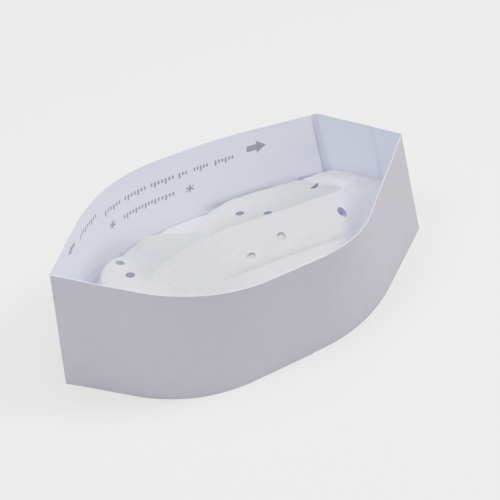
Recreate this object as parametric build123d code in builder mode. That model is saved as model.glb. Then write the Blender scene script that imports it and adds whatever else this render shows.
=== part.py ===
from build123d import *
import math
import os

os.makedirs("parts", exist_ok=True)

# Disposable paper forage cap with a slide-to-fit back, standing on its crown-side
# edge with the head opening up.  Millimetres.  Origin at the centre of the
# footprint, floor at Z = 0, +X from the front fold to the pull-out back,
# +Y to the wearer's left as it stands here (the printed wall), +Z to the head opening.

# ---------------------------------------------------------------- driving sizes
band_height = 90.0        # height of the paper strip
paper = 0.20              # thickness of the band paper
slide_gap = 0.25          # free play between two overlapping layers
glue = 0.20               # room for a glue film
crease = 1.0              # outer radius of a sharp paper fold
travel = 25.0             # how far the back pulls out, each way round 2 x 25 = 50 mm
tissue = 0.40             # crown tissue with its crepe texture
tissue_edge_z = 39.0      # height at which the crown tissue meets the walls
tissue_ridge_z = 57.0     # height of its middle pleat
flange_z = 34.0           # lower edge of the turned-down glue flange of the tissue
vent_d = 6.0              # vent hole in the tissue

shift_x = -128.77         # moves the fold at the front to the bounding-box frame
shift_y = 4.91

# corner points of the strip outline, seen from above, front fold first
fold_top = (0.0, 0.0)
fold_low = (-1.0, 0.0)
right_top = [(62.0, -64.5), (158.5, -64.5)]
right_low = [(57.5, -56.0), (178.0, -56.0)]
left_top = [(56.0, 55.5), (139.0, 53.6)]
left_low = [(55.0, 49.0), (140.0, 50.0)]
kink_top = (200.4, 43.2)
kink_low = (223.0, 37.5)
back_top = (234.4, 0.0)
back_low = (259.0, 0.0)
round_front = 90.0
round_right = [60.0, 115.0]
round_left = 300.0
round_kink = 12.0

print_end_x = [196.4, 217.6]    # where the printed wall ends, rim and floor
front_end_x = [136.0, 136.0]    # where the front strip ends on the right side
arm_start_x = [101.0, 101.0]    # where the tucked-in right arm starts
left_arm_x = [112.0, 112.0]     # where the outer left arm starts
tab_length = 18.0               # glue tab inside the back facet
tissue_front_x = 35.0           # rounded front end of the tissue
tissue_front_r = 32.0
ridge_x = [60.0, 196.0]         # ends of the middle pleat
ridge_y = 4.0
vents = [
    (56.2, 32.5),
    (56.2, 18.9),
    (137.0, 30.4),
    (149.6, 18.0),
    (192.5, 25.9),
    (189.2, -4.4),
    (144.7, -8.0),
    (118.0, -12.0),
]


# ---------------------------------------------------------------- small helpers
def moved(points):
    return [(x + shift_x, y + shift_y) for x, y in points]


def along(p, q, distance):
    """Point at a distance from p on the way to q."""
    length = math.hypot(q[0] - p[0], q[1] - p[1])
    return (
        p[0] + (q[0] - p[0]) * distance / length,
        p[1] + (q[1] - p[1]) * distance / length,
    )


def at_x(p, q, x):
    """Point with a given x on the line from p to q."""
    return (x, p[1] + (q[1] - p[1]) * (x - p[0]) / (q[0] - p[0]))


def parallel(points, distance):
    """Mitred copy of an open line, moved to the left of its direction."""
    normals = []
    for p, q in zip(points[:-1], points[1:]):
        length = math.hypot(q[0] - p[0], q[1] - p[1])
        normals.append((-(q[1] - p[1]) / length, (q[0] - p[0]) / length))
    result = []
    for i, p in enumerate(points):
        a = normals[max(i - 1, 0)]
        b = normals[min(i, len(normals) - 1)]
        scale = distance / (1.0 + a[0] * b[0] + a[1] * b[1])
        result.append((p[0] + (a[0] + b[0]) * scale, p[1] + (a[1] + b[1]) * scale))
    return result


def between(low, top, z):
    """Outline at a height between the floor outline and the rim outline."""
    s = z / band_height
    return [(a[0] + (b[0] - a[0]) * s, a[1] + (b[1] - a[1]) * s) for a, b in zip(low, top)]


def mixed(low, top, z):
    s = z / band_height
    return [a + (b - a) * s for a, b in zip(low, top)]


def outline(points, radii, thickness):
    """Plan section of a thin wall: the outer face line thickened to the inside."""
    with BuildSketch() as flat:
        with BuildLine():
            FilletPolyline(*moved(points), radius=radii)
            offset(amount=thickness, side=Side.LEFT, closed=True)
        make_face()
    return flat.sketch


# ---------------------------------------------------------------- wall paths
# Every path runs anticlockwise seen from above, so the left side is the inside.
def front_path(i):
    fold = [fold_top, fold_low][i]
    right = [right_top, right_low][i]
    left = [left_top, left_low][i]
    kink = [kink_top, kink_low][i]
    start = at_x(left[1], kink, print_end_x[i])
    end = at_x(right[0], right[1], front_end_x[i])
    return [start, left[1], left[0], fold, right[0], end]


def right_path(i):
    right = [right_top, right_low][i]
    back = [back_top, back_low][i]
    kink = [kink_top, kink_low][i]
    full = parallel([right[0], right[1], back, kink], paper + slide_gap)
    start = at_x(full[0], full[1], arm_start_x[i])
    end = along(full[2], full[3], tab_length)
    return [start, full[1], full[2], end]


def left_path(i):
    left = [left_top, left_low][i]
    back = [back_top, back_low][i]
    kink = [kink_top, kink_low][i]
    tab = parallel([back, kink], paper + slide_gap - glue - paper)
    full = parallel([back, kink, left[1], left[0]], -(paper + slide_gap))
    inner_back = along(tab[0], tab[1], 1.2)
    start = [inner_back, kink, left[1], left[0]]
    start[1] = full[1]
    end = at_x(full[2], full[3], left_arm_x[i])
    return [start[0], full[1], full[2], end]


front_radii = [round_left, round_front, crease, round_front]

# ---------------------------------------------------------------- front strip
with BuildPart() as front_band:
    with BuildSketch(Plane.XY):
        add(outline(front_path(1), front_radii, paper))
    with BuildSketch(Plane.XY.offset(band_height)):
        add(outline(front_path(0), front_radii, paper))
    loft(ruled=True)
front_band.part.label = "front_band"
export_step(front_band.part, "parts/front_band.step")

# ---------------------------------------------------------------- pull-out back
with BuildPart() as rear_panel_right:
    with BuildSketch(Plane.XY):
        add(outline(right_path(1), [round_right[1], crease], paper))
    with BuildSketch(Plane.XY.offset(band_height)):
        add(outline(right_path(0), [round_right[0], crease], paper))
    loft(ruled=True)
rear_panel_right.part.label = "rear_panel_right"
export_step(rear_panel_right.part, "parts/rear_panel_right.step")

with BuildPart() as rear_panel_left:
    with BuildSketch(Plane.XY):
        add(outline(left_path(1), [round_kink, round_left], paper))
    with BuildSketch(Plane.XY.offset(band_height)):
        add(outline(left_path(0), [round_kink, round_left], paper))
    loft(ruled=True)
rear_panel_left.part.label = "rear_panel_left"
export_step(rear_panel_left.part, "parts/rear_panel_left.step")


# The tab of the right panel is stuck to the inside of the back facet.
def facet_point(i, distance, inset):
    """Point inside the back facet, measured from the back crease."""
    line = parallel([[back_top, back_low][i], [kink_top, kink_low][i]], inset)
    return along(line[0], line[1], distance)


def facet_strip(corners, z):
    """Plan section on the back facet at a height, from (distance, inset) corners."""
    low = [facet_point(1, d, n) for d, n in corners]
    top = [facet_point(0, d, n) for d, n in corners]
    with BuildSketch() as flat:
        with BuildLine():
            Polyline(*moved(between(low, top, z)), close=True)
        make_face()
    return flat.sketch


tab_film = [(7.0, 0.29), (11.0, 0.29), (11.0, 0.41), (7.0, 0.41)]
with BuildPart() as rear_tab_glue:
    for step in range(9):
        z = 3.0 + (band_height - 6.0) * step / 8
        with BuildSketch(Plane.XY.offset(z)):
            add(facet_strip(tab_film, z))
    loft(ruled=True)
rear_tab_glue.part.label = "rear_tab_glue"
export_step(rear_tab_glue.part, "parts/rear_tab_glue.step")

bead = [(5.0, 0.72), (19.2, 0.72), (19.8, 0.22), (44.0, -0.04), (44.0, 0.93), (5.0, 0.93)]
with BuildPart() as crown_glue_rear:
    with BuildSketch(Plane.XY.offset(flange_z + 0.5)):
        add(facet_strip(bead, flange_z + 0.5))
    with BuildSketch(Plane.XY.offset(flange_z + 3.5)):
        add(facet_strip(bead, flange_z + 3.5))
    loft(ruled=True)
crown_glue_rear.part.label = "crown_glue_rear"
export_step(crown_glue_rear.part, "parts/crown_glue_rear.step")


# ---------------------------------------------------------------- crown tissue
# A tent of crepe tissue: turned-down flanges along the walls, a middle pleat on top.
def boat(i, inset):
    """Closed plan outline inside the walls, stepping in where the right arm slides."""
    right = [right_top, right_low][i]
    left = [left_top, left_low][i]
    kink = [kink_top, kink_low][i]
    back = [back_top, back_low][i]
    fold = [fold_top, fold_low][i]
    ring = parallel([left[0], fold, right[0], right[1]], 0.5 + inset)
    arm = parallel([right[0], right[1], back, kink, left[1]], 1.0 + inset)
    far = parallel([kink, left[1], left[0], fold], 0.5 + inset)
    return [
        ring[1],
        ring[2],
        at_x(ring[2], ring[3], 99.6),
        at_x(arm[0], arm[1], 100.6),
        arm[1],
        arm[2],
        arm[3],
        far[1],
        far[2],
    ]


def boat_face(z, inset):
    """The boat outline at a height, filled."""
    points = between(boat(1, inset), boat(0, inset), z)
    turn = mixed([round_right[1]], [round_right[0]], z)[0]
    radii = [1.0, round_front - 0.5, 0, 0, turn - 1.0, 2.0, round_kink, round_left, round_front - 0.5]
    with BuildSketch() as flat:
        with BuildLine():
            FilletPolyline(*moved(points), radius=radii, close=True)
        make_face()
    return flat.sketch


def tent(inset, drop):
    """Solid under the tissue surface, bounded by the walls and the round front."""
    low_z = flange_z - drop
    with BuildPart() as block:
        with BuildSketch(Plane.XY.offset(low_z)):
            add(boat_face(low_z, inset))
        with BuildSketch(Plane.XY.offset(62.0)):
            add(boat_face(62.0, inset))
        loft(ruled=True)
        with BuildSketch(Plane.XY.offset(low_z)):
            with Locations((shift_x + tissue_front_x + inset + 120.0, shift_y - 4.0)):
                RectangleRounded(240.0, 104.0 - 2 * inset, tissue_front_r)
            with Locations((shift_x + 180.0, shift_y - 4.0)):
                Rectangle(220.0, 150.0)
        extrude(amount=62.0 - low_z, mode=Mode.INTERSECT)
        with BuildPart(mode=Mode.INTERSECT):
            with Locations((shift_x + 147.0, shift_y - 4.0, 36.0 - drop)):
                Box(260.0, 160.0, 20.0, align=(Align.CENTER, Align.CENTER, Align.MAX))
            with BuildSketch(Plane.XY.offset(36.0 - drop)):
                with Locations((shift_x + 147.0, shift_y - 4.0)):
                    Rectangle(250.0, 134.0)
            with BuildSketch(Plane.XY.offset(tissue_ridge_z - drop)):
                with Locations((shift_x + sum(ridge_x) / 2, shift_y + ridge_y)):
                    Rectangle(ridge_x[1] - ridge_x[0], 3.0)
            loft(ruled=True)
    return block.part


with BuildPart() as crown_tissue:
    add(tent(0.0, 0.0))
    add(tent(tissue, tissue), mode=Mode.SUBTRACT)
    with Locations(*[(x, y, 30.0) for x, y in moved(vents)]):
        Cylinder(vent_d / 2, 40.0, align=(Align.CENTER, Align.CENTER, Align.MIN), mode=Mode.SUBTRACT)
crown_tissue.part.label = "crown_tissue"
export_step(crown_tissue.part, "parts/crown_tissue.step")


# ---------------------------------------------------------------- crown glue lines
def wall_line(i, inset):
    return parallel(front_path(i), inset)


def glue_line(x_from, x_to, side):
    """Glue on the inside of the front strip, between two stations on one side."""
    z0 = flange_z + 0.5
    z1 = flange_z + 3.5
    middle = (x_from + x_to) / 2
    with BuildPart() as block:
        for z in (z0, z1):
            with BuildSketch(Plane.XY.offset(z)):
                points = between(wall_line(1, 0.25), wall_line(0, 0.25), z)
                add(outline(points, front_radii, 0.2))
        loft(ruled=True)
        with Locations((shift_x + middle, shift_y + side * 50.0, 40.0)):
            Box(x_to - x_from, 98.0, 40.0, mode=Mode.INTERSECT)
    return block.part


with BuildPart() as crown_glue_left:
    add(glue_line(62.0, 196.0, 1))
crown_glue_left.part.label = "crown_glue_left"
export_step(crown_glue_left.part, "parts/crown_glue_left.step")

with BuildPart() as crown_glue_right:
    add(glue_line(58.0, 96.0, -1))
crown_glue_right.part.label = "crown_glue_right"
export_step(crown_glue_right.part, "parts/crown_glue_right.step")
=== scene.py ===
"""Looks of a disposable paper forage cap that stands on its crown edge, head opening up.

Everything is worked out in millimetres in the plan of the cap, with the front fold at the
plan's origin, x towards the pull-out back and y towards the printed wall, and is moved to
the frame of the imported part, in metres, when a mesh is made.
"""

import math

import bpy
import numpy as np
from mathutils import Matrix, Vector, noise


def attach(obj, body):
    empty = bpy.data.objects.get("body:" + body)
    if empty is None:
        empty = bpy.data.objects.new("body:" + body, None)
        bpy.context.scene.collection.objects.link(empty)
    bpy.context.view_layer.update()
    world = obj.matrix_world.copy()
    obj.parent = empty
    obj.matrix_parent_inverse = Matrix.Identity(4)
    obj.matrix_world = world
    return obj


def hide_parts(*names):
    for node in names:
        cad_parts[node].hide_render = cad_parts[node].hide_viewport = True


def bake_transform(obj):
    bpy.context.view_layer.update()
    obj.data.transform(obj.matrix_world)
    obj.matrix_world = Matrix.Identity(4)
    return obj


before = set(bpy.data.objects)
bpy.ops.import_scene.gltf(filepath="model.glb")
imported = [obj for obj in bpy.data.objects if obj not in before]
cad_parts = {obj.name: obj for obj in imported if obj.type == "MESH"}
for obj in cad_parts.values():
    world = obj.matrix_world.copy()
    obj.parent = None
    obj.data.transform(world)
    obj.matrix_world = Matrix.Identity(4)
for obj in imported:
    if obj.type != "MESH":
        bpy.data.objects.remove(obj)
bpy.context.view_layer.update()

# -------------------------------- driving sizes, mm
MM = 0.001
BAND_HEIGHT = 90.0
PAPER = 0.20                                # thickness of the band paper
TISSUE = 0.10                               # and of the crown's tissue
PANEL_GAP = PAPER + 0.25                    # between the outer faces of two lapped sheets
CREASE = 1.0                                # radius of a sharp fold
SHIFT = np.array([-128.77, 4.91, 0.0])      # plan origin to frame origin

# plan corners of the band at the floor and at the rim, then the radii that round them
FOLD = {"low": (-1.0, 0.0), "top": (0.0, 0.0)}
RIGHT = {"low": [(57.5, -56.0), (178.0, -56.0)], "top": [(62.0, -64.5), (158.5, -64.5)]}
LEFT = {"low": [(55.0, 49.0), (140.0, 50.0)], "top": [(56.0, 55.5), (139.0, 53.6)]}
KINK = {"low": (223.0, 37.5), "top": (200.4, 43.2)}
BACK = {"low": (259.0, 0.0), "top": (234.4, 0.0)}
ROUND_FRONT = 90.0
ROUND_RIGHT = {"low": 115.0, "top": 60.0}
ROUND_LEFT = 300.0
ROUND_KINK = 5.0
PRINT_END = {"low": 213.6, "top": 196.0}    # x of the printed wall's end edge
FRONT_END = 136.0                           # x of the front strip's end on the right wall
ARM_START = 101.0                           # x of the right panel's start, over the strip
LEFT_ARM = 112.0                            # x of the left panel's end, outside the print
FACET_START = 1.2                           # left panel's start, from the back fold
FACET_INSET = 0.05                          # left panel's facet, in from the drawn line
TAB = 18.0                                  # glued tab on the left facet, from the back fold
LEFT_FROM = 8.0                             # beyond this y a point is on the left side

STATION_STEP = 2.2                          # cells along a wall
ARC_STEP = 6.0                              # and round its arcs, in degrees
TANGENT_REACH = 0.05                        # direction is taken this far to both sides


# -------------------------------- plan geometry
def parallel(points, distance):
    """Mitred copy of an open line, moved to the left of its direction."""
    pts = [np.array(p, float) for p in points]
    normals = []
    for p, q in zip(pts[:-1], pts[1:]):
        d = (q - p) / np.linalg.norm(q - p)
        normals.append(np.array([-d[1], d[0]]))
    result = []
    for i, p in enumerate(pts):
        a = normals[max(i - 1, 0)]
        b = normals[min(i, len(normals) - 1)]
        result.append(p + (a + b) * distance / (1.0 + a @ b))
    return result


def at_x(p, q, x):
    """Point with that x on the line from p to q."""
    return np.array([x, p[1] + (q[1] - p[1]) * (x - p[0]) / (q[0] - p[0])])


def along(p, q, distance):
    """Point at a distance from p on the line to q."""
    p, q = np.array(p, float), np.array(q, float)
    return p + (q - p) * distance / np.linalg.norm(q - p)


class Outline:
    """Straight runs joined by arcs, through a few corner points."""

    def __init__(self, points, radii):
        pts = [np.array(p, float) for p in points]
        self.runs = []
        start = pts[0]
        for i in range(1, len(pts)):
            end, arc = pts[i], None
            if i < len(pts) - 1 and radii[i - 1] > 0:
                a = pts[i - 1] - pts[i]
                b = pts[i + 1] - pts[i]
                a, b = a / np.linalg.norm(a), b / np.linalg.norm(b)
                half = math.acos(max(-1.0, min(1.0, float(a @ b)))) / 2
                cut = radii[i - 1] / math.tan(half)
                centre = pts[i] + (a + b) / np.linalg.norm(a + b) * radii[i - 1] / math.sin(half)
                end, leave = pts[i] + a * cut, pts[i] + b * cut
                a0 = math.atan2(*(end - centre)[::-1])
                a1 = math.atan2(*(leave - centre)[::-1])
                turn = (a1 - a0 + math.pi) % (2 * math.pi) - math.pi
                arc = (centre, radii[i - 1], a0, turn)
            self.runs.append(("line", start, end, float(np.linalg.norm(end - start))))
            if arc:
                self.runs.append(("arc", arc, None, abs(arc[1] * arc[3])))
                start = leave
            else:
                start = end

    def at(self, run, t):
        """Point at the share t of a run."""
        kind, a, b, _ = self.runs[run]
        if kind == "line":
            return a + (b - a) * t
        centre, radius, a0, turn = a
        angle = a0 + turn * t
        return centre + radius * np.array([math.cos(angle), math.sin(angle)])


class Wall:
    """A ruled wall between a floor outline and a rim outline with the same runs."""

    def __init__(self, low, top, low_radii, top_radii):
        self.low = Outline(low, low_radii)
        self.top = Outline(top, top_radii)
        self.ends = np.concatenate([[0.0], np.cumsum([r[3] for r in self.top.runs])])
        self.length = float(self.ends[-1])

    def plan(self, s, z):
        """Plan point at a distance s along the rim and a height z."""
        run = int(np.clip(np.searchsorted(self.ends, s, side="right") - 1, 0, len(self.ends) - 2))
        span = self.ends[run + 1] - self.ends[run]
        t = (s - self.ends[run]) / span if span > 0 else 0.0
        a, b = self.low.at(run, t), self.top.at(run, t)
        return a + (b - a) * z / BAND_HEIGHT

    def frame_at(self, s, z):
        """Point on the wall and its unit normal towards the inside."""
        p = self.plan(s, z)
        after = self.plan(min(s + TANGENT_REACH, self.length), z)
        before = self.plan(max(s - TANGENT_REACH, 0.0), z)
        q = after - before
        q = q / np.linalg.norm(q)
        return np.array([p[0], p[1], z]), np.array([-q[1], q[0], 0.0])

    def stations(self):
        """Stations along the wall: every run's ends, and closer together round an arc."""
        result = []
        for i, (kind, data, _, length) in enumerate(self.top.runs):
            gap = STATION_STEP
            if kind == "arc":
                gap = min(STATION_STEP, data[1] * math.radians(ARC_STEP))
            count = max(1, int(math.ceil(length / gap)))
            result += [self.ends[i] + length * k / count for k in range(count)]
        return np.array(result + [self.length])


def front_points(level):
    """Front strip: from the printed wall's end round the fold to the right wall."""
    start = at_x(LEFT[level][1], KINK[level], PRINT_END[level])
    end = at_x(RIGHT[level][0], RIGHT[level][1], FRONT_END)
    return [start, LEFT[level][1], LEFT[level][0], FOLD[level], RIGHT[level][0], end]


def right_points(level):
    """Right rear panel: inside the strip, round the back fold and onto the facet."""
    full = parallel([*RIGHT[level], BACK[level], KINK[level]], PANEL_GAP)
    return [at_x(full[0], full[1], ARM_START), full[1], full[2], along(full[2], full[3], TAB)]


def left_points(level):
    """Left rear panel: the facet, the kink and the arm outside the printed wall."""
    facet = parallel([BACK[level], KINK[level]], FACET_INSET)
    full = parallel([BACK[level], KINK[level], LEFT[level][1], LEFT[level][0]], -PANEL_GAP)
    start = along(facet[0], facet[1], FACET_START)
    return [start, full[1], full[2], at_x(full[2], full[3], LEFT_ARM)]


# -------------------------------- mesh helpers
def to_frame(points):
    """Plan millimetres to metres in the part's frame."""
    return (np.asarray(points, float) + SHIFT) * MM


def link(name, vertices, faces, materials, smooth=True, sharp=35.0, slots=None):
    """Mesh object in the scene. Edges that turn by more than sharp degrees stay hard."""
    mesh = bpy.data.meshes.new(name)
    mesh.from_pydata([tuple(v) for v in vertices], [], faces)
    for material in materials:
        mesh.materials.append(material)
    if slots is not None:
        mesh.polygons.foreach_set("material_index", slots)
    mesh.polygons.foreach_set("use_smooth", [smooth] * len(mesh.polygons))
    mesh.set_sharp_from_angle(angle=math.radians(sharp))
    obj = bpy.data.objects.new(name, mesh)
    bpy.context.scene.collection.objects.link(obj)
    return obj


def grid_normals(grid):
    """Unit normals of a grid of points."""
    du = np.gradient(grid, axis=0)
    dv = np.gradient(grid, axis=1)
    n = np.cross(du, dv)
    length = np.linalg.norm(n, axis=2, keepdims=True)
    return n / np.maximum(length, 1e-9)


def thick_sheet(name, grid, thickness, materials, keep=None, sharp=35.0, shades=()):
    """A closed thin sheet from its middle surface, a grid of points in plan mm.
    keep is a mask of the grid's cells that stay; the others are holes. With two
    materials, the second is on the side that the grid's normals turn away from.
    shades are (name, value at each grid point) pairs for the materials to read."""
    nu, nv = grid.shape[:2]
    n = grid_normals(grid)
    half = np.broadcast_to(np.asarray(thickness, float) / 2, (nu, nv))[..., None]
    sides = [to_frame(grid + n * half), to_frame(grid - n * half)]
    vertices = np.concatenate([s.reshape(-1, 3) for s in sides])
    count = nu * nv
    if keep is None:
        keep = np.ones((nu - 1, nv - 1), bool)
    faces = []
    slots = []
    border = {}          # edges with a face on one side only, in the order they were met
    for i, j in zip(*np.nonzero(keep)):
        a, b = i * nv + j, (i + 1) * nv + j
        c, d = b + 1, a + 1
        faces.append((a, b, c, d))
        faces.append((d + count, c + count, b + count, a + count))
        slots += [0, len(materials) - 1]
        for start, end in ((a, b), (b, c), (c, d), (d, a)):
            if (end, start) in border:
                del border[(end, start)]
            else:
                border[(start, end)] = True
    for a, b in border:
        faces.append((b, a, a + count, b + count))
        slots.append(len(materials) - 1)
    used = np.unique(np.array([v for f in faces for v in f]))
    order = np.full(2 * count, -1)
    order[used] = np.arange(len(used))
    faces = [tuple(int(order[v]) for v in f) for f in faces]
    obj = link(name, vertices[used], faces, materials, sharp=sharp, slots=slots)
    for key, values in shades:
        layer = obj.data.attributes.new(key, "FLOAT", "POINT")
        layer.data.foreach_set("value", np.tile(values.ravel(), 2)[used].astype(np.float32))
    return obj


def smoothstep(low, high, x):
    """A soft S from 0 at low to 1 at high, which may be the smaller of the two."""
    t = np.clip((np.asarray(x, float) - low) / (high - low), 0.0, 1.0)
    return t * t * (3 - 2 * t)


def hump(low, rise, fall, high, x):
    """1 between rise and fall, fading to 0 at low and at high."""
    return smoothstep(low, rise, x) * (1 - smoothstep(fall, high, x))


def step_at(low, high, x):
    """Smoothstep of a single number."""
    return float(smoothstep(low, high, x))


def hump_at(low, rise, fall, high, x):
    """Hump of a single number."""
    return float(hump(low, rise, fall, high, x))


def waves(p, size, seed):
    """Smooth noise from -1 to 1 with features of that size in mm."""
    return noise.noise(Vector((p[0] / size + seed, p[1] / size - seed, p[2] / size)))


# -------------------------------- materials
# lightest and darkest colour of each; the outer face is the same white paper as the inner, painted
# far darker as painted shade over the cap's outside
OUTER_FACE_PAINTED_SHADE = ((0.212, 0.193, 0.240), (0.191, 0.173, 0.218))
INNER_FACE = ((0.725, 0.752, 1.0), (0.70, 0.726, 0.985))
GAP_SHADE = (0.37, 0.345, 0.49)             # painted shade on the inner face deep beside the tissue
INK_COLORS = ((0.20, 0.19, 0.22), (0.12, 0.11, 0.14))
GLUE_COLORS = ((0.52, 0.55, 0.64), (0.40, 0.43, 0.52))

# the tissue's colours go from the first to the second by its clouds, or by its plies with their
# painted shade; the dark ends of the first and the third are painted shade as well as the tone of
# one ply
ONE_PLY_AND_PAINTED_SHADE = ((0.475, 0.50, 0.56), (0.565, 0.59, 0.65))
SEVERAL_PLIES = ((0.78, 0.79, 0.87), (0.925, 0.93, 1.0))
THIN_EDGE_AND_PAINTED_SHADE = ((0.42, 0.46, 0.62), (0.85, 0.88, 1.0))
GLOW = ((0.62, 0.60, 0.62), (0.84, 0.82, 0.84))
THIN_GLOW = (1.0, 0.97, 0.98)

OUTER_THROUGH = 0.05                        # share of the light that comes through
INNER_THROUGH = 0.10
TISSUE_THROUGH = 0.56


def new_material(name):
    """A node material, with its tree and its main shader."""
    material = bpy.data.materials.new(name)
    material.use_nodes = True
    tree = material.node_tree
    shader = tree.nodes["Principled BSDF"]
    return material, tree, shader


def object_coords(tree):
    return tree.nodes.new("ShaderNodeTexCoord").outputs["Object"]


def noise_node(tree, coords, scale, detail, roughness=0.5):
    """Value socket of a noise texture."""
    made = tree.nodes.new("ShaderNodeTexNoise")
    made.inputs["Scale"].default_value = scale
    made.inputs["Detail"].default_value = detail
    made.inputs["Roughness"].default_value = roughness
    tree.links.new(coords, made.inputs["Vector"])
    return made.outputs["Fac"]


def ramp(tree, factor, low, dark, high, light):
    """Colour that is dark up to the factor low and light from the factor high."""
    made = tree.nodes.new("ShaderNodeValToRGB")
    for element, position, color in zip(made.color_ramp.elements, (low, high), (dark, light)):
        element.position = position
        element.color = (*color, 1)
    tree.links.new(factor, made.inputs["Fac"])
    return made.outputs["Color"]


def vary_roughness(tree, shader, factor, least, most):
    made = tree.nodes.new("ShaderNodeMapRange")
    made.inputs["To Min"].default_value = least
    made.inputs["To Max"].default_value = most
    tree.links.new(factor, made.inputs["Value"])
    tree.links.new(made.outputs["Result"], shader.inputs["Roughness"])


def bump_chain(tree, shader, layers):
    """Stacked bump layers: (height socket, strength, distance in metres)."""
    previous = None
    for height, strength, distance in layers:
        made = tree.nodes.new("ShaderNodeBump")
        made.inputs["Strength"].default_value = strength
        made.inputs["Distance"].default_value = distance
        tree.links.new(height, made.inputs["Height"])
        if previous is not None:
            tree.links.new(previous, made.inputs["Normal"])
        previous = made.outputs["Normal"]
    tree.links.new(previous, shader.inputs["Normal"])
    return previous


def let_light_through(tree, shader, color, normal, share):
    """Thin paper: part of the light that falls on its far side comes through."""
    through = tree.nodes.new("ShaderNodeBsdfTranslucent")
    tree.links.new(color, through.inputs["Color"])
    tree.links.new(normal, through.inputs["Normal"])
    mix = tree.nodes.new("ShaderNodeMixShader")
    mix.inputs["Fac"].default_value = share
    tree.links.new(shader.outputs["BSDF"], mix.inputs[1])
    tree.links.new(through.outputs["BSDF"], mix.inputs[2])
    tree.links.new(mix.outputs["Shader"], tree.nodes["Material Output"].inputs["Surface"])


def mixed(tree, factor, first, second):
    """Colour between two colours or sockets by a factor socket."""
    made = tree.nodes.new("ShaderNodeMix")
    made.data_type = "RGBA"
    tree.links.new(factor, made.inputs["Factor"])
    for name, value in (("A", first), ("B", second)):
        socket = [i for i in made.inputs if i.name == name and i.type == "RGBA"][0]
        if isinstance(value, tuple):
            socket.default_value = (*value, 1)
        else:
            tree.links.new(value, socket)
    return [o for o in made.outputs if o.type == "RGBA"][0]


def attribute(tree, name):
    """Value that a mesh holds at its points."""
    made = tree.nodes.new("ShaderNodeAttribute")
    made.attribute_name = name
    return made.outputs["Fac"]


def paper_material(name, colors, through, gap_shade=None):
    """White bond paper: cloudy formation, short fibres and a very slight tooth. With a
    gap_shade it turns towards that colour deep in the gaps, as painted shade, by the mesh's
    attribute of painted shade."""
    light, dark = colors
    fibre_share = 0.35
    material, tree, shader = new_material(name)
    coords = object_coords(tree)
    cloud = noise_node(tree, coords, 140.0, 4.0, 0.6)
    fibre = noise_node(tree, coords, 1500.0, 3.0, 0.65)
    mix = tree.nodes.new("ShaderNodeMath")
    mix.operation = "MULTIPLY_ADD"
    mix.inputs[1].default_value = fibre_share
    tree.links.new(fibre, mix.inputs[0])
    scaled = tree.nodes.new("ShaderNodeMath")
    scaled.operation = "MULTIPLY"
    scaled.inputs[1].default_value = 1 - fibre_share
    tree.links.new(cloud, scaled.inputs[0])
    tree.links.new(scaled.outputs[0], mix.inputs[2])
    color = ramp(tree, mix.outputs[0], 0.32, dark, 0.68, light)
    # painted shade: the colour darkens towards the gap colour where the mesh says so
    if gap_shade is not None:
        color = mixed(tree, attribute(tree, "painted_shade"), color, gap_shade)
    tree.links.new(color, shader.inputs["Base Color"])
    vary_roughness(tree, shader, fibre, 0.62, 0.78)
    shader.inputs["Specular IOR Level"].default_value = 0.3
    normal = bump_chain(tree, shader, [(cloud, 0.25, 0.0006), (fibre, 0.22, 0.00012)])
    let_light_through(tree, shader, color, normal, through)
    return material


def tissue_material(name):
    """Crepe tissue: fine cross wrinkles, soft clouds and a matt nap. It is greyer where
    one ply hangs over the open cap, whiter where several lie together, bluer where it is
    thinner, and darker where shade is painted in: in crevices, laps and pleats and in the
    groove along the far wall."""
    material, tree, shader = new_material(name)
    coords = object_coords(tree)
    stretch = tree.nodes.new("ShaderNodeMapping")
    stretch.inputs["Scale"].default_value = (1.0, 0.28, 0.5)
    stretch.inputs["Rotation"].default_value = (0.0, 0.0, math.radians(6.0))
    tree.links.new(coords, stretch.inputs["Vector"])
    crepe = noise_node(tree, stretch.outputs["Vector"], 1100.0, 4.0, 0.6)
    mottle = noise_node(tree, coords, 260.0, 5.0, 0.65)
    fluff = noise_node(tree, coords, 2200.0, 2.0, 0.6)
    cloud = ramp(tree, mottle, 0.34, (0, 0, 0), 0.66, (1, 1, 1))
    # the darkest colours are painted shade as well as the tone of a single ply
    single_and_painted_shade = mixed(tree, cloud, *ONE_PLY_AND_PAINTED_SHADE)
    several = mixed(tree, cloud, *SEVERAL_PLIES)
    white = mixed(tree, attribute(tree, "plies_and_painted_shade"), single_and_painted_shade, several)
    thin_and_painted_shade = mixed(tree, attribute(tree, "plies_and_painted_shade"), *THIN_EDGE_AND_PAINTED_SHADE)
    color = mixed(tree, attribute(tree, "thin_and_painted_shade"), white, thin_and_painted_shade)
    tree.links.new(color, shader.inputs["Base Color"])
    vary_roughness(tree, shader, fluff, 0.85, 0.98)
    shader.inputs["Specular IOR Level"].default_value = 0.12
    shader.inputs["Sheen Weight"].default_value = 0.15
    shader.inputs["Sheen Roughness"].default_value = 0.6
    normal = bump_chain(
        tree, shader, [(mottle, 0.8, 0.0035), (crepe, 0.7, 0.0009), (fluff, 0.3, 0.0001)]
    )
    glow = mixed(tree, attribute(tree, "plies_and_painted_shade"), *GLOW)
    glow = mixed(tree, attribute(tree, "thin_and_painted_shade"), glow, THIN_GLOW)
    let_light_through(tree, shader, glow, normal, TISSUE_THROUGH)
    return material


def glue_material():
    """Dried hot-melt: milky, a little glossy, with a rippled skin."""
    light, dark = GLUE_COLORS
    material, tree, shader = new_material("glue_film")
    coords = object_coords(tree)
    ripple = noise_node(tree, coords, 420.0, 3.0)
    color = ramp(tree, ripple, 0.3, dark, 0.7, light)
    tree.links.new(color, shader.inputs["Base Color"])
    shader.inputs["Roughness"].default_value = 0.38
    shader.inputs["Specular IOR Level"].default_value = 0.45
    bump_chain(tree, shader, [(ripple, 0.4, 0.0004)])
    return material


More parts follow.
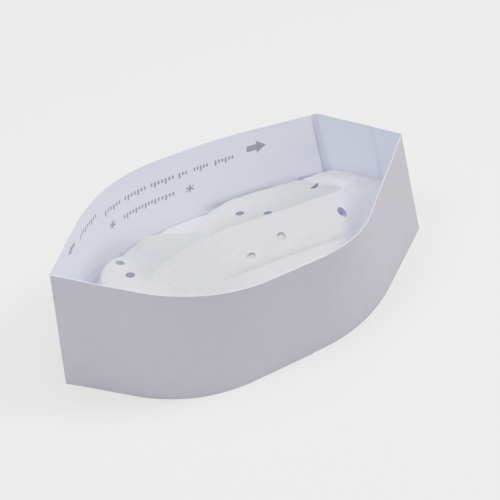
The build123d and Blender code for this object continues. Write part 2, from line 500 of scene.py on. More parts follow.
def ink_material():
    """Grey flexographic ink, slightly starved over the paper's tooth."""
    light, dark = INK_COLORS
    material, tree, shader = new_material("print_ink")
    coords = object_coords(tree)
    grain = noise_node(tree, coords, 1700.0, 4.0, 0.7)
    color = ramp(tree, grain, 0.35, dark, 0.75, light)
    tree.links.new(color, shader.inputs["Base Color"])
    shader.inputs["Roughness"].default_value = 0.6
    shader.inputs["Specular IOR Level"].default_value = 0.3
    bump_chain(tree, shader, [(grain, 0.15, 0.0001)])
    return material


# the band's outer face is painted darker than the paper's own white, as painted shade
band_outer_painted_shade = paper_material("band_outer_painted_shade", OUTER_FACE_PAINTED_SHADE, OUTER_THROUGH)
band_inner = paper_material("band_inner", INNER_FACE, INNER_THROUGH, GAP_SHADE)
band_sides = [band_outer_painted_shade, band_inner]
crown_paper = tissue_material("crown_crepe")
glue = glue_material()
ink = ink_material()


# -------------------------------- band paper
def ripple(point, strength):
    """How far hand-folded paper wanders from its drawn face, in mm."""
    return strength * (0.7 * waves(point, 46.0, 3.1) + 0.3 * waves(point, 17.0, 8.7))


# rows of points up a wall; the cut edge at the rim is a little fluffed
EDGE_ROW = 0.8
FLUFF = 1.4
HEIGHTS = np.append(np.linspace(0.0, BAND_HEIGHT - EDGE_ROW, 41), BAND_HEIGHT)
THICKNESS = np.where(HEIGHTS < BAND_HEIGHT, PAPER, FLUFF * PAPER)

WAVINESS = 0.75           # strength of the waves where the paper is free
END_CURL = 2.2            # of the printed wall's end off the panel behind it
TAB_CURL = 1.2            # of the glued tab's edge off the facet


def wall_grid(path, lift=None):
    """Middle surface of a wall sheet. lift(s, z) pushes it inwards."""
    stations = path.stations()
    grid = np.zeros((len(stations), len(HEIGHTS), 3))
    for i, s in enumerate(stations):
        for j, z in enumerate(HEIGHTS):
            p, inward = path.frame_at(s, z)
            push = ripple(p, calm(p)) + PAPER / 2
            if lift is not None:
                push += lift(s, z)
            grid[i, j] = p + inward * push
    return grid


def calm(p):
    """Strength of the waves: they fade out where layers slide and near the folds."""
    sliding = hump(92.0, 99.0, 136.0, 146.0, p[0]) * (1.0 if p[1] < 0 else 0.0)
    fold = 1 - smoothstep(0.0, 12.0, p[0])
    back = smoothstep(205.0, 225.0, p[0])
    return WAVINESS * (1 - max(sliding, fold, 0.7 * back))


front_radii = [ROUND_LEFT, ROUND_FRONT, CREASE, ROUND_FRONT]
front_wall = Wall(front_points("low"), front_points("top"), front_radii, front_radii)
FOLD_RUN = 5              # the arc of the front fold among the runs of the front wall
FOLD_S = float(front_wall.ends[FOLD_RUN] + front_wall.top.runs[FOLD_RUN][3] / 2)


def front_painted_shade(grid):
    """Painted shade on the left wall: around the tissue's front end, and along the gap behind it.
    """
    x, y, z = grid[..., 0], grid[..., 1], grid[..., 2]
    # around the front end, less high towards the back
    level = 58.0 - 0.33 * np.clip(x - 30.0, 0.0, None)
    front = hump(21.0, 31.0, 62.0, 88.0, x)
    shade = 0.62 * front * (1 - smoothstep(level - 9.0, level + 9.0, z))
    # faint ahead of it
    tip = 0.22 * (1 - smoothstep(24.0, 60.0, x)) * (1 - smoothstep(50.0, 88.0, z))
    # behind it up to the tissue's edge, darkest beside the rear ply
    line = np.interp(x, [100.0, 143.0, 158.0, 190.0, 204.0], [41.0, 40.5, 41.5, 42.0, 43.5])
    gap = hump(116.0, 132.0, 164.0, 178.0, x) + 1.5 * hump(186.0, 191.0, 203.0, 207.0, x)
    gap = gap * (1 - smoothstep(line - 0.5, line + 2.6, z))
    return np.where(y > LEFT_FROM, np.maximum(np.maximum(shade, tip), 0.8 * gap), 0.0)


def rear_painted_shade(grid):
    """Painted shade on the strip between the printed wall's end and the kink, and beside the tab.
    """
    x, y, z = grid[..., 0], grid[..., 1], grid[..., 2]
    kink = KINK["low"][0] + (KINK["top"][0] - KINK["low"][0]) * z / BAND_HEIGHT
    strip = hump(kink - 14.0, kink - 9.0, kink - 1.0, kink + 0.5, x)
    back = BACK["low"][0] + (BACK["top"][0] - BACK["low"][0]) * z / BAND_HEIGHT
    from_back = np.hypot(x - back, y)
    beside_tab = hump(TAB - 1.0, TAB + 0.8, TAB + 1.6, TAB + 4.2, from_back) * (x > kink)
    return np.where(y > LEFT_FROM, 0.36 * strip + 0.22 * beside_tab, 0.22 * beside_tab)


def tab_lift(s, z):
    """The glued tab's edge stands slightly off the facet."""
    lift = TAB_CURL * smoothstep(right_wall.length - 7.0, right_wall.length, s) ** 2
    return lift * (1 - smoothstep(72.0, 88.0, z))


def printed_end_lift(s, z):
    """The printed wall's free end curls off the panel behind it."""
    return END_CURL * (1 - smoothstep(0.0, 26.0, s)) ** 2 * (1 - (z / BAND_HEIGHT) ** 2)


front_grid = wall_grid(front_wall, printed_end_lift)
front_band = thick_sheet(
    "paper_front_band",
    front_grid,
    THICKNESS,
    band_sides,
    # painted shade on the inner face near the tissue
    shades=[("painted_shade", front_painted_shade(front_grid))],
)
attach(front_band, "band")
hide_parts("front_band")

right_wall = Wall(
    right_points("low"),
    right_points("top"),
    [ROUND_RIGHT["low"], CREASE],
    [ROUND_RIGHT["top"], CREASE],
)
right_grid = wall_grid(right_wall, tab_lift)
rear_right = thick_sheet("paper_rear_right", right_grid, THICKNESS, band_sides)
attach(rear_right, "rear")
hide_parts("rear_panel_right")

left_radii = [ROUND_KINK, ROUND_LEFT]
left_wall = Wall(left_points("low"), left_points("top"), left_radii, left_radii)
left_grid = wall_grid(left_wall)
rear_left = thick_sheet(
    "paper_rear_left",
    left_grid,
    THICKNESS,
    band_sides,
    # painted shade behind the printed wall's end and beside the tab
    shades=[("painted_shade", rear_painted_shade(left_grid))],
)
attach(rear_left, "rear")
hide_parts("rear_panel_left")


# -------------------------------- print on the left wall
INK = 0.03                # thickness of the ink, and height of its middle off the paper
LETTER_HALF = 1.5         # half height of a low letter
LETTER_SHARE = 0.62       # width of a letter's block, as a share of its pitch
STAR_RADIUS = 3.1
STAR_HALF_WIDTH = 0.6
STROKE_STEP = 0.004       # from one stroke of a star up to the next


def ink_point(s, z, above=0.0):
    """Point just off the printed face of the wall."""
    p, inward = front_wall.frame_at(s, z)
    push = ripple(p, calm(p)) + PAPER + INK + above + printed_end_lift(s, z)
    return p + inward * push


def ink_strip(name, columns, centre_z):
    """A flat ink shape from (distance from the fold, half height) columns."""
    grid = []
    for from_fold, half in columns:
        heights = [centre_z + side * half for side in (-1.0, 0.0, 1.0)]
        grid.append([ink_point(FOLD_S - from_fold, z) for z in heights])
    return thick_sheet(name, np.array(grid), INK, [ink])


def ink_block(name, start, width, centre_z, half):
    """A rounded block, the stand-in for a printed letter."""
    corner = min(0.6, width / 2.2)
    chamfer = corner * 0.3
    columns = [
        (start, half - corner),
        (start + chamfer, half - chamfer),
        (start + corner, half),
        (start + width - corner, half),
        (start + width - chamfer, half - chamfer),
        (start + width, half - corner),
    ]
    return ink_strip(name, columns, centre_z)


def ink_word(prefix, start, end, centre_z, count):
    """Blocks in place of a word: same length and weight, no letters."""
    pitch = (end - start) / count
    made = []
    for k in range(count):
        tall = 0.7 if (k * 5 + count) % 3 == 0 else 0.0
        left, width = start + k * pitch, pitch * LETTER_SHARE
        made.append(ink_block(f"{prefix}_{k}", left, width, centre_z - tall, LETTER_HALF + tall))
    return made


def ink_arrow(name, tail, tip, centre_z, shaft_half, head_half, head_length):
    """A straight shaft and a pointed head."""
    toward = 1.0 if tip > tail else -1.0
    neck = tip - toward * head_length
    columns = [
        (tail, shaft_half),
        ((tail + neck) / 2, shaft_half),
        (neck, shaft_half),
        (neck + toward * 0.02, head_half),
        ((neck + tip) / 2, head_half / 2),
        (tip, 0.03),
    ]
    return ink_strip(name, columns, centre_z)


def ink_star(prefix, centre, centre_z):
    """Three crossed strokes, each a hair above the one before."""
    made = []
    for k, angle in enumerate((30.0, 90.0, 150.0)):
        c, s = math.cos(math.radians(angle)), math.sin(math.radians(angle))
        grid = []
        for reach in (-STAR_RADIUS, 0.0, STAR_RADIUS):
            row = []
            for side in (-STAR_HALF_WIDTH, STAR_HALF_WIDTH):
                station = FOLD_S - (centre + reach * c - side * s)
                z = centre_z + reach * s + side * c
                row.append(ink_point(station, z, STROKE_STEP * k))
            grid.append(row)
        made.append(thick_sheet(f"{prefix}_{k}", np.array(grid), INK, [ink]))
    return made


def join(objects, name):
    """One mesh object from several, keeping their shared material."""
    vertices, faces = [], []
    for obj in objects:
        base = len(vertices)
        vertices += [v.co.copy() for v in obj.data.vertices]
        faces += [tuple(base + i for i in p.vertices) for p in obj.data.polygons]
    material = objects[0].data.materials[0]
    for obj in objects:
        mesh = obj.data
        bpy.data.objects.remove(obj)
        bpy.data.meshes.remove(mesh)
    return link(name, vertices, faces, [material], smooth=False)


# the words of the upper row: start and end from the fold, and the number of letters
UPPER_WORDS = [(71.5, 86.0, 6), (88.5, 105.5, 7), (108.0, 124.5, 7)]
UPPER_WORDS += [(126.5, 133.0, 3), (136.5, 147.0, 5), (150.5, 164.0, 6)]
UPPER_ROW_Z = 73.8
LOWER_ROW_Z = 61.3

upper_row = []
for k, (start, end, count) in enumerate(UPPER_WORDS):
    upper_row += ink_word(f"upper_{k}", start, end, UPPER_ROW_Z, count)
lower_row = ink_word("lower", 86.5, 124.5, LOWER_ROW_Z, 16)
front_word = ink_word("front", 43.5, 64.5, 78.2, 9)
stars = ink_star("star_a", 133.5, 60.6) + ink_star("star_b", 77.0, 61.6)
arrows = [
    ink_arrow("arrow_back", 171.8, 184.6, 76.4, 2.3, 5.0, 6.3),
    ink_arrow("arrow_front", 36.2, 25.6, 80.2, 1.35, 3.1, 5.4),
]
for pieces, name in (
    (upper_row, "print_upper_row"),
    (lower_row, "print_lower_row"),
    (front_word, "print_front_mark"),
    (stars, "print_stars"),
    (arrows, "print_arrows"),
):
    printed = join(pieces, name)
    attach(printed, "band")


# -------------------------------- crown tissue
EDGE_Z = 39.5             # height at which the tissue meets the walls
HEM_DROP = 3.0            # its hems hang this far down them
NEAR_INSET = 1.0          # of its edges from the walls
FAR_INSET = 0.85


def edge_line(corners_low, corners_top, radii_low, radii_top, inset, z):
    """x and y of an inner wall line at a height, x rising."""
    path = Wall(
        parallel(corners_low, inset), parallel(corners_top, inset), radii_low, radii_top
    )
    points = np.array([path.plan(s, z) for s in np.linspace(0, path.length, 700)])
    order = np.argsort(points[:, 0])
    return points[order, 0], points[order, 1]


near_line = edge_line(
    [FOLD["low"], *RIGHT["low"], BACK["low"]],
    [FOLD["top"], *RIGHT["top"], BACK["top"]],
    [ROUND_FRONT, ROUND_RIGHT["low"]],
    [ROUND_FRONT, ROUND_RIGHT["top"]],
    NEAR_INSET,
    EDGE_Z,
)
far_line = edge_line(
    [BACK["low"], KINK["low"], LEFT["low"][1], LEFT["low"][0], FOLD["low"]],
    [BACK["top"], KINK["top"], LEFT["top"][1], LEFT["top"][0], FOLD["top"]],
    [ROUND_KINK, ROUND_LEFT, ROUND_FRONT],
    [ROUND_KINK, ROUND_LEFT, ROUND_FRONT],
    FAR_INSET,
    EDGE_Z,
)

DOME_FRONT = 33.0         # x of the tissue's rounded front end
DOME_RADIUS = 28.0
DOME_CENTRE = -4.0
DOME_HALF = 54.0
CUSHION = 18.0            # length over which the front end rises
CROWN_END = 245.6
CROWN_STEP = 1.05

# the main fold, which stands up along the cap: x, y and z on its crest
CREST = np.array(
    [(33.0, 0.0, 37.0), (50.0, 3.2, 46.5), (66.0, 6.6, 54.5), (78.0, 9.3, 57.5)]
    + [(91.0, 12.2, 57.5), (108.0, 13.3, 57.5), (124.5, 11.8, 58.5), (151.0, 9.2, 58.5)]
    + [(175.0, 8.4, 57.5), (198.0, 7.9, 56.0), (215.0, 7.0, 50.0), (232.0, 5.0, 44.5)]
    + [(246.0, 2.0, 42.0)]
)
# x and y of the far ply's free edge: it runs back from the wall, then out again along it
FAR_EDGE = np.array(
    [(35.0, 60.0), (60.0, 50.5), (78.0, 47.0), (97.0, 36.0), (106.5, 29.0), (110.0, 31.5)]
    + [(117.0, 41.0), (125.0, 45.6), (145.0, 48.0), (188.0, 47.6), (200.0, 48.0), (246.0, 48.0)]
)
# parts of a row across the tissue, near wall first, and the cells in each
HEM, STRIP, LAP, NEAR, PLEAT_IN, PLEAT_OUT, FAR, TURN, UNDER, FAR_HEM = range(10)
CELLS = (4, 13, 5, 36, 16, 16, 34, 8, 20, 4)
STARTS = np.concatenate([[0], np.cumsum(CELLS)])


def dome_limit(x):
    """Half width that the rounded front end leaves at a station."""
    inside = np.clip(DOME_RADIUS - (x - DOME_FRONT), 0.0, DOME_RADIUS)
    return DOME_HALF - DOME_RADIUS + np.sqrt(DOME_RADIUS**2 - inside**2)


def run_points(a, b, count, bulge=0.0):
    """Points from a towards b without b, arched by bulge."""
    t = np.arange(count) / count
    return [
        (a[0] + (b[0] - a[0]) * k, a[1] + (b[1] - a[1]) * k + bulge * math.sin(math.pi * k))
        for k in t
    ]


class Station:
    """Sizes of the tissue's section at one place along the cap. The limits of the steps
    and humps, here and in the functions that draw the section, are places along it."""

    def __init__(self, x):
        limit = float(dome_limit(x))
        self.x = x
        self.y_near = max(float(np.interp(x, *near_line)), DOME_CENTRE - limit)
        y_far = float(np.interp(x, *far_line)) - 2.0 * (1 - step_at(58.0, 78.0, x))
        self.y_far = min(y_far, DOME_CENTRE + limit)
        self.width = self.y_far - self.y_near
        self.small = min(1.0, self.width / 60.0)                # shrinks the ends' folds
        self.deep = hump_at(52.0, 74.0, 186.0, 203.0, x)        # how far the pleat is folded
        self.groove = hump_at(112.0, 134.0, 178.0, 192.0, x)    # dip along the far wall
        self.slit = hump_at(76.0, 86.0, 186.0, 196.0, x)        # open gap at the far wall
        self.edge_near = EDGE_Z - 5.0 * (1 - step_at(34.0, 52.0, x))
        edge_far = EDGE_Z - 3.5 * (1 - step_at(78.0, 98.0, x))
        edge_far += 1.8 * step_at(78.0, 96.0, x) + 1.5 * step_at(192.0, 204.0, x)
        self.edge_far = edge_far - 5.0 * self.groove
        y_crest, self.z_crest = (float(np.interp(x, CREST[:, 0], CREST[:, k])) for k in (1, 2))
        self.y_crest = self.between(y_crest, 0.40, 0.66)

    def between(self, y, least, most):
        """y, kept between two shares of the width."""
        return float(np.clip(y, self.y_near + least * self.width, self.y_near + most * self.width))


def near_strip(at):
    """The hem and the strip along the near wall, whose edge laps over the near ply.
    Returns its points and the point below its edge."""
    lap = hump_at(96.0, 116.0, 178.0, 190.0, at.x)
    y_strip = at.between(-17.5 - 0.07 * (at.x - 120.0), 0.15, 0.38)
    slope = (at.z_crest - at.edge_near) / (at.y_crest - at.y_near)
    z_strip = at.edge_near + slope * (y_strip - at.y_near) * 0.74 + 2.8 * lap
    under = (y_strip + 0.6 * at.small * (1 - lap) - 3.8 * lap, z_strip - (0.1 + 4.6 * lap))
    brim = (at.y_near + 0.5 * at.small, at.edge_near)
    points = run_points((at.y_near, at.edge_near - HEM_DROP), brim, CELLS[HEM])
    points += run_points(brim, (y_strip, z_strip), CELLS[STRIP], 0.8 * at.small)
    points += run_points((y_strip, z_strip), under, CELLS[LAP])
    return points, under


def near_ply(at, under):
    """The near ply up to the crest, and the pleat below the crest, which is deep enough in
    the middle to lie under the near vents. Returns its points and the pleat's foot."""
    wide = hump_at(98.0, 114.0, 158.0, 178.0, at.x)
    depth = 9.0 * at.small + 21.0 * wide
    bulge = 2.2 * hump_at(60.0, 90.0, 180.0, 205.0, at.x)
    gap = 2.5 * at.small
    drop = (4.7 + 3.0 * hump_at(58.0, 72.0, 96.0, 114.0, at.x)) * at.small
    y_back = at.y_crest - min(depth, 0.86 * (at.y_crest - under[0]))

    def top(y):
        t = (y - under[0]) / (at.y_crest - under[0])
        return under[1] + (at.z_crest - under[1]) * t + bulge * math.sin(math.pi * t)

    folded = []
    for k in range(CELLS[PLEAT_IN]):
        t = k / CELLS[PLEAT_IN]
        y = at.y_crest + (y_back - at.y_crest) * t
        folded.append((y, top(y) - gap * math.sin(math.pi / 2 * min(1.0, 3 * t))))
    for k in range(CELLS[PLEAT_OUT] + 1):
        t = k / CELLS[PLEAT_OUT]
        y = y_back + (at.y_crest - 0.3 * at.small - y_back) * t
        folded.append((y, top(y) - gap - (drop - gap) * math.sin(math.pi / 2 * t)))

    points = run_points(under, (at.y_crest, at.z_crest), CELLS[NEAR], bulge)
    for k, (y, z) in enumerate(folded):
        t = k / (len(folded) - 1)
        flat_y, flat_z = at.y_crest + 3.0 * at.small * t, at.z_crest - 0.4 * at.small * t
        points.append((flat_y + (y - flat_y) * at.deep, flat_z + (z - flat_z) * at.deep))
    foot = points.pop()
    return points, foot


def far_ply(at, foot):
    """The far ply down to its free edge, folded under, and the last ply to the far wall."""
    flap = hump_at(68.0, 82.0, 182.0, 194.0, at.x)
    flap *= 1 - 0.85 * hump_at(97.0, 107.0, 114.0, 138.0, at.x)
    y_edge = float(np.interp(at.x, FAR_EDGE[:, 0], FAR_EDGE[:, 1]))
    y_edge = float(np.clip(y_edge, at.y_crest + 0.12 * at.width, at.y_far - 2.2 * at.small))
    z_plain = foot[1] + (at.edge_far - foot[1]) * (y_edge - foot[0]) / (at.y_far - foot[0])
    z_top = 44.8 - 1.2 * at.groove - 3.0 * (1 - step_at(74.0, 92.0, at.x))
    z_edge = z_plain + (max(z_top, z_plain) - z_plain) * flap
    edge = (y_edge, z_edge)
    fold = (y_edge + 0.6 * at.small * (1 - flap) - 3.4 * flap, z_edge - 0.1 - 2.4 * flap)
    brim = (at.y_far - 0.5 * at.small - 2.6 * at.slit, at.edge_far - 0.5 * at.slit)
    end = (at.y_far - 0.6 * at.slit, at.edge_far - HEM_DROP - 2.0 * at.slit)
    points = run_points(foot, edge, CELLS[FAR], -2.0 * at.deep)
    points += run_points(edge, fold, CELLS[TURN])
    points += run_points(fold, brim, CELLS[UNDER])
    points += run_points(brim, end, CELLS[FAR_HEM])
    points.append(end)
    return points


def rear_arch(points, at, share):
    """Turns the section into a soft arch by a share: the crest dies out."""
    soft = []
    for y, z in points:
        t = min(1.0, max(0.0, (y - at.y_near) / at.width))
        arch = at.edge_near + (at.edge_far - at.edge_near) * t
        arch += max(0.0, at.z_crest - 42.0) * 0.9 * math.sin(math.pi * t) ** 0.8
        arch = max(arch, at.edge_near - HEM_DROP)
        soft.append((y, z + (arch - z) * share * min(1.0, 8 * t, 8 * (1 - t))))
    return soft


def front_cushion(points, at, share):
    """Turns the section into a low rounded cushion by a share."""
    middle, half = (at.y_near + at.y_far) / 2, at.width / 2
    u = max(0.0, (DOME_FRONT + CUSHION - at.x) / CUSHION)
    soft = []
    for y, z in points:
        v = min(1.0, abs(y - middle) / half)
        r = (v**4 + u**4) ** 0.25
        cushion = 47.0 + 1.5 * (1 - r * r) - 11.0 * step_at(0.87, 1.0, r)
        soft.append((y, z + (cushion - z) * share))
    return soft


def crown_row(x):
    """Points (y, z) of the pleated tissue across the cap at a station, near wall first."""
    at = Station(x)
    strip, under = near_strip(at)
    near, foot = near_ply(at, under)
    points = strip + near + far_ply(at, foot)
    arched = step_at(197.0, 212.0, x)
    if arched > 0:
        points = rear_arch(points, at, arched)
    rounded = 1 - step_at(47.0, 70.0, x)
    if rounded > 0:
        points = front_cushion(points, at, rounded)
    return points


PLY_STEP = 2.2            # from the far ply up to the rear one


def rear_boundary(y):
    """x of the line where the rear ply laps over the far one."""
    return 190.5 + (37.0 - y) * 0.33


def crown_grid():
    """Middle surface of the tissue: stations along the cap by points across it."""
    xs = np.arange(DOME_FRONT, CROWN_END, CROWN_STEP)
    grid = np.array([[(x, *p) for p in crown_row(x)] for x in xs])
    x, y, z = grid[..., 0], grid[..., 1], grid[..., 2]
    column = np.arange(grid.shape[1])[None, :]

    # the rear ply's front edge stands a little above the far one
    far = (column >= STARTS[FAR]) & (column < STARTS[TURN])
    behind = x - rear_boundary(y)
    step = smoothstep(-0.7, 0.7, behind) * (1 - smoothstep(3.0, 18.0, behind))
    step = step * smoothstep(0.0, 5.0, column - STARTS[FAR])
    grid[..., 2] = z + np.where(far, PLY_STEP * step * smoothstep(50.0, 44.0, y), 0.0)

    # behind a soft fold the near ply falls away to the right wall
    beyond = x - (190.0 + 0.42 * y)
    near = (column >= STARTS[STRIP]) & (column < STARTS[PLEAT_IN])
    fall = smoothstep(0.0, 16.0, beyond) * (1 - smoothstep(24.0, 46.0, beyond))
    grid[..., 2] -= np.where(near, 5.0 * fall * smoothstep(6.0, -12.0, y), 0.0)
    return grid


# line where the rear end of the crown turns into a single ply: x for rising y
REAR_PLY_Y = [-25.0, -9.0, 8.0, 13.0, 19.0, 31.0]
REAR_PLY_X = [175.0, 187.0, 196.0, 204.0, 217.0, 221.0]


def ply_and_painted_shades(grid):
    """For each point: how many layers lie together (0 to 1), lowered where shade is painted in,
    and how far it turns to the thinner, bluer colour, which carries painted shade too.
    """
    x, y = grid[..., 0], grid[..., 1]
    column = np.arange(grid.shape[1])[None, :] + 0.0 * x
    plies_and_painted_shade = np.ones_like(x)

    # the far ply is single at the crest and doubled towards its free edge, and is painted darker
    # by the crest as painted shade in the crevice under it
    across = (column - STARTS[FAR]) / CELLS[FAR]
    far = (column > STARTS[FAR] - 8) & (column <= STARTS[TURN])
    middle = smoothstep(104.0, 116.0, x)
    slow = 0.12 + (0.80 - 0.60 * smoothstep(140.0, 184.0, x)) * smoothstep(0.0, 0.8, across)
    fore = (0.30 + 0.25 * np.clip(across, 0, 1)) * (1 - middle)
    plies_and_painted_shade = np.where(far, slow * middle + fore, plies_and_painted_shade)

    # a painted shadow line where the strip laps over the near ply
    from_strip = column - STARTS[NEAR]
    lap = hump(98.0, 116.0, 176.0, 190.0, x)
    painted_lap_shadow = 1 - 0.85 * lap * (1 - smoothstep(3.0, 9.0, from_strip))
    plies_and_painted_shade = np.where((from_strip >= -3) & (from_strip < 9), painted_lap_shadow, plies_and_painted_shade)

    # inside the pleat, painted shade where it is seen through the vents; and the near ply ahead of
    # its doubled middle, darker for one ply and for painted shade
    pleat = (column > STARTS[PLEAT_IN] + 3) & (column < STARTS[FAR] - 8)
    plies_and_painted_shade = np.where(pleat, plies_and_painted_shade * (1 - 0.45 * hump(66.0, 76.0, 184.0, 192.0, x)), plies_and_painted_shade)
    near = column <= STARTS[PLEAT_IN] + 3
    plies_and_painted_shade = np.where(near, plies_and_painted_shade - 0.35 * hump(56.0, 72.0, 92.0, 122.0, x), plies_and_painted_shade)

    # the front end is white, and so is the rear ply up to where it turns single; beyond that it is
    # painted darker, for one ply and for painted shade on the slope to the right wall
    front = 1 - smoothstep(52.0, 68.0, x)
    plies_and_painted_shade = plies_and_painted_shade + (0.95 - plies_and_painted_shade) * front
    past = smoothstep(-0.7, 0.7, x - rear_boundary(y))
    past = past * np.maximum(smoothstep(6.0, 9.0, y), far * smoothstep(196.0, 202.0, x))
    plies_and_painted_shade = plies_and_painted_shade + (1.0 - plies_and_painted_shade) * past
    single_and_painted_shade = smoothstep(-3.0, 6.0, x - np.interp(y, REAR_PLY_Y, REAR_PLY_X)) * (1 - front)
    plies_and_painted_shade = plies_and_painted_shade + (0.35 - plies_and_painted_shade) * single_and_painted_shade

    # painted shade: the folded edge and the last ply turn dark blue-grey in the groove along the
    # far wall
    last = column > STARTS[TURN]
    plies_and_painted_shade = np.where(last, plies_and_painted_shade * (1 - hump(114.0, 136.0, 180.0, 192.0, x)), plies_and_painted_shade)
    thin_and_painted_shade = np.where(last & (x > 74.0) & (x < 190.0), 1.0, 0.0)
    thin_and_painted_shade = np.maximum(thin_and_painted_shade, np.maximum(0.85 * single_and_painted_shade, 0.6 * past))
    return plies_and_painted_shade, thin_and_painted_shade


RELAX_ROUNDS = 2
RELAX_ACROSS = 0.5
RELAX_ALONG = 0.25
CRUMPLE = 0.75            # depth of the handled look


def relax(grid):
    """Softens folds: each point moves towards its neighbours, the wall edges stay."""
    for _ in range(RELAX_ROUNDS):
        middle = (grid[:, :-2] + grid[:, 2:]) / 2
        grid[:, 1:-1] += (middle - grid[:, 1:-1]) * RELAX_ACROSS
        middle = (grid[:-2] + grid[2:]) / 2
        grid[1:-1, :, 2] += (middle[..., 2] - grid[1:-1, :, 2]) * RELAX_ALONG
    return grid


def crumple(grid):
    """Handled tissue: broad sags, ridged creases and a fine cockle, alike in all plies,
    with a crinkle in the strip along the near wall."""
    nu, nv = grid.shape[:2]
    for i in range(nu):
        for j in range(nv):
            p = grid[i, j] * (1.0, 1.0, 0.0)
            edge = min(1.0, min(j, nv - 1 - j) / 9.0, 0.35 + min(i, nu - 1 - i) / 12.0)
            broad = 0.8 * waves(p, 34.0, 1.7)
            crease = (0.5 - abs(waves(p, 17.0, 5.3))) * 0.9
            crease += (0.4 - abs(waves(p, 7.5, 9.9))) * 0.35
            fine = 0.09 * waves(p, 2.6, 4.2)
            crinkle = 0.35 * waves(p, 4.5, 7.1) if j < STARTS[LAP] else 0.0
            grid[i, j, 2] += edge * (broad + crease + fine + crinkle) * CRUMPLE
    return grid


VENT_RADIUS = 3.0
# x and y of the vents, and their width across the cap as a share of their length along it
VENTS = [
    (54.0, 30.0, 0.9),
    (54.0, 16.5, 1.0),
    (137.0, 30.4, 0.9),
    (149.6, 18.0, 0.85),
    (191.0, 28.6, 0.55),
    (187.6, -6.6, 1.15),
    (143.2, -7.4, 1.0),
    (120.4, -10.2, 0.6),
]


def corners(cells):
    """Grid points that the chosen cells touch."""
    touched = np.zeros((cells.shape[0] + 1, cells.shape[1] + 1), bool)
    for rows in (slice(None, -1), slice(1, None)):
        for columns in (slice(None, -1), slice(1, None)):
            touched[rows, columns] |= cells
    return touched


def punch(grid):
    """Cuts the vents in the ply on top: cells inside a vent go, and its border is
    drawn onto the circle."""
    centres = (grid[:-1, :-1] + grid[1:, :-1] + grid[:-1, 1:] + grid[1:, 1:]) / 4
    keep = np.ones(centres.shape[:2], bool)
    column = np.arange(centres.shape[1])[None, :]
    for x, y, lean in VENTS:
        crest = float(np.interp(x, CREST[:, 0], CREST[:, 1]))
        ply = NEAR if y < crest else FAR
        on_ply = (column >= STARTS[ply]) & (column < STARTS[ply + 1])
        reach = np.hypot(centres[..., 0] - x, (centres[..., 1] - y) / lean)
        inside = (reach < VENT_RADIUS) & on_ply
        keep &= ~inside
        for i, j in zip(*np.nonzero(corners(inside) & corners(~inside))):
            reach = math.hypot(grid[i, j, 0] - x, (grid[i, j, 1] - y) / lean)
            grid[i, j, 0] = x + (grid[i, j, 0] - x) * VENT_RADIUS / max(reach, 1e-6)
            grid[i, j, 1] = y + (grid[i, j, 1] - y) * VENT_RADIUS / max(reach, 1e-6)
    return keep


crown = relax(crown_grid())
plies_and_painted_shade, thin_and_painted_shade = ply_and_painted_shades(crown)
crown = crumple(crown)
crown_cells = punch(crown)
crown_sheet = thick_sheet(
    "tissue_crown",
    crown,
    TISSUE,
    [crown_paper],
    keep=crown_cells,
    sharp=70.0,
    shades=[("plies_and_painted_shade", plies_and_painted_shade), ("thin_and_painted_shade", thin_and_painted_shade)],
)
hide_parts("crown_tissue")
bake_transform(crown_sheet)


# -------------------------------- glue
for name in ("crown_glue_left", "crown_glue_right", "crown_glue_rear", "rear_tab_glue"):
    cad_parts[name].data.materials.clear()
    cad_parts[name].data.materials.append(glue)


# -------------------------------- floor, light, camera
def stage_material():
    """Matt pale paint."""
    material, _, shader = new_material("studio_floor")
    shader.inputs["Base Color"].default_value = (0.93, 0.93, 0.935, 1)
    shader.inputs["Roughness"].default_value = 0.9
    shader.inputs["Specular IOR Level"].default_value = 0.1
    return material


# y and z across the floor, which curves up far behind the object, and half its width, in m
FLOOR_PROFILE = [(-3.0, 0.0), (1.2, 0.0), (1.6, 0.03), (1.95, 0.15), (2.2, 0.4)]
FLOOR_PROFILE += [(2.3, 0.8), (2.3, 3.0)]
FLOOR_HALF = 4.0
FLOOR_DROP = 0.00005      # keeps the floor just under the paper that stands on it


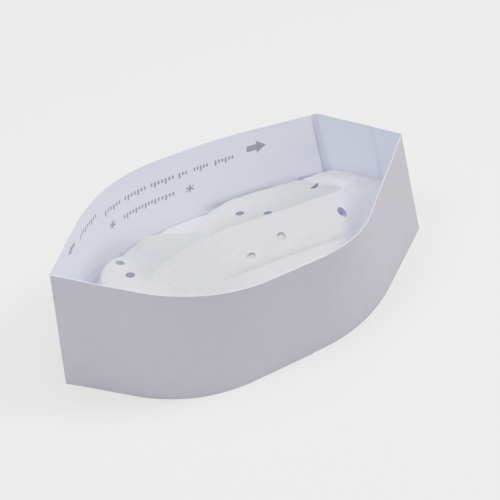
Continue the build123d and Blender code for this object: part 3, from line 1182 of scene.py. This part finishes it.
def make_floor():
    """Floor that curves up far behind the object."""
    vertices = []
    for y, z in FLOOR_PROFILE:
        vertices += [(-FLOOR_HALF, y, z - FLOOR_DROP), (FLOOR_HALF, y, z - FLOOR_DROP)]
    faces = [(2 * k, 2 * k + 1, 2 * k + 3, 2 * k + 2) for k in range(len(FLOOR_PROFILE) - 1)]
    floor = link("studio_floor", vertices, faces, [stage_material()], sharp=80.0)


def area_light(name, place, target_z, size, power, color):
    """A round soft light that looks at a point above the origin."""
    data = bpy.data.lights.new(name, "AREA")
    data.shape = "DISK"
    data.size = size
    data.energy = power
    data.color = color
    lamp = bpy.data.objects.new(name, data)
    bpy.context.scene.collection.objects.link(lamp)
    lamp.location = place
    look = Vector((0.0, 0.0, target_z)) - Vector(place)
    lamp.rotation_euler = look.to_track_quat("-Z", "Y").to_euler()


make_floor()
area_light("key_left", (-0.80, -0.15, 1.30), 0.04, 0.4, 35.0, (0.99, 0.99, 1.0))
area_light("key_right", (0.70, -0.30, 1.30), 0.04, 0.4, 41.0, (1.0, 0.985, 0.99))
area_light("fill_right", (1.30, -0.60, 0.66), 0.06, 0.5, 19.0, (1.0, 0.98, 0.99))
area_light("top_soft", (-0.1, -0.1, 1.7), 0.0, 1.2, 65.0, (0.93, 0.955, 1.0))

world = bpy.data.worlds.new("studio")
world.use_nodes = True
background = world.node_tree.nodes["Background"]
background.inputs["Color"].default_value = (0.95, 0.97, 1.0, 1)
background.inputs["Strength"].default_value = 0.2
bpy.context.scene.world = world

FOCAL = 2.4               # focal length over the sensor's width
PITCH = math.radians(44.0)
HEADING = math.radians(31.2)
CAMERA_PLACE = to_frame([-142.3, -442.7, 545.4])

camera_data = bpy.data.cameras.new("camera")
camera_data.sensor_width = 36.0
camera_data.lens = FOCAL * camera_data.sensor_width
camera_data.clip_start = 0.01
camera = bpy.data.objects.new("camera", camera_data)
bpy.context.scene.collection.objects.link(camera)
camera.location = CAMERA_PLACE
camera.rotation_euler = (math.pi / 2 - PITCH, 0.0, -HEADING)
bpy.context.scene.camera = camera
